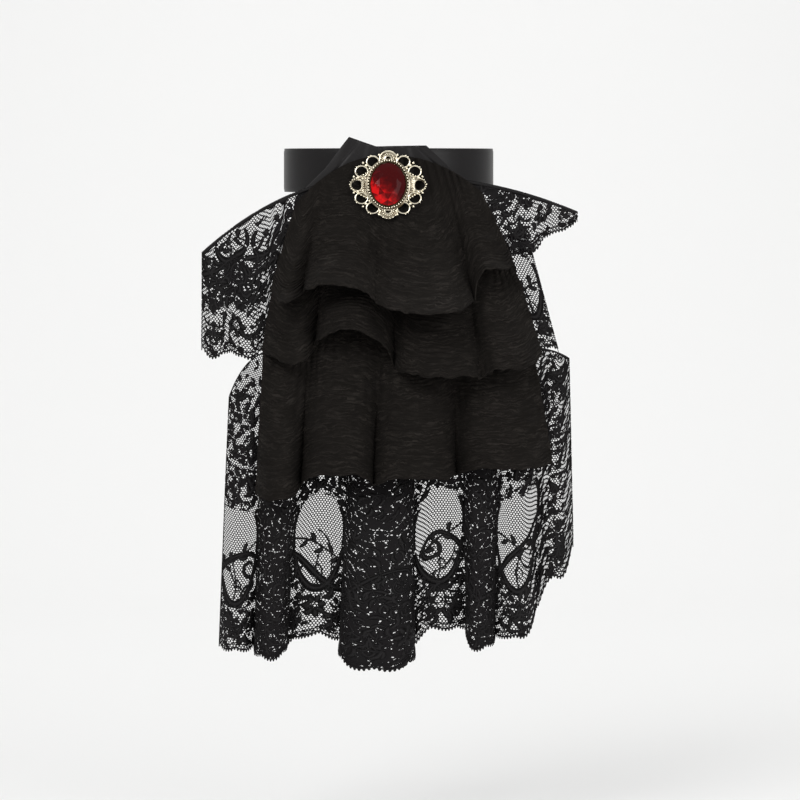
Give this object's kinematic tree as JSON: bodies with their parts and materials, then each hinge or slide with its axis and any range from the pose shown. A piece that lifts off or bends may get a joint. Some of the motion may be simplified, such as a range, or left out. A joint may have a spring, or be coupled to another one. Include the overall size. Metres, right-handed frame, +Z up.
{
  "type": "jabot",
  "caption": "Black crepe and lace jabot on a satin neck band, with a red stone brooch at the throat.",
  "frame": {"origin": "middle of the neck loop, on the line where the neck passes through it", "axes": "+Z up along the neck, -Y forward through the front of the jabot, +X to the left side of who wears it"},
  "size_m": [0.2383, 0.1865, 0.3356],
  "materials": {
    "satin": "satin weave with a soft sheen",
    "crepe": "matt crinkled crepe with raised wavy threads",
    "lace": "net with scroll, leaf and flower work and a corded edge",
    "fastener": "matt hook-and-loop pile",
    "gilt_metal": "pale gilt, polished, with darker recesses",
    "red_stone": "clear red cut glass"
  },
  "bodies": {
    "root": {"neck_band": "satin", "fastener_tape": "fastener", "yoke": "satin", "lace_tier_side": "lace", "lace_flounce": "lace", "lace_wing_upper": "lace", "crepe_tier_lower": "crepe", "crepe_tier_middle": "crepe", "crepe_tier_upper": "crepe", "brooch_setting": "gilt_metal", "brooch_stone": "red_stone", "brooch_pin": "gilt_metal"}
  },
  "joints": []
}
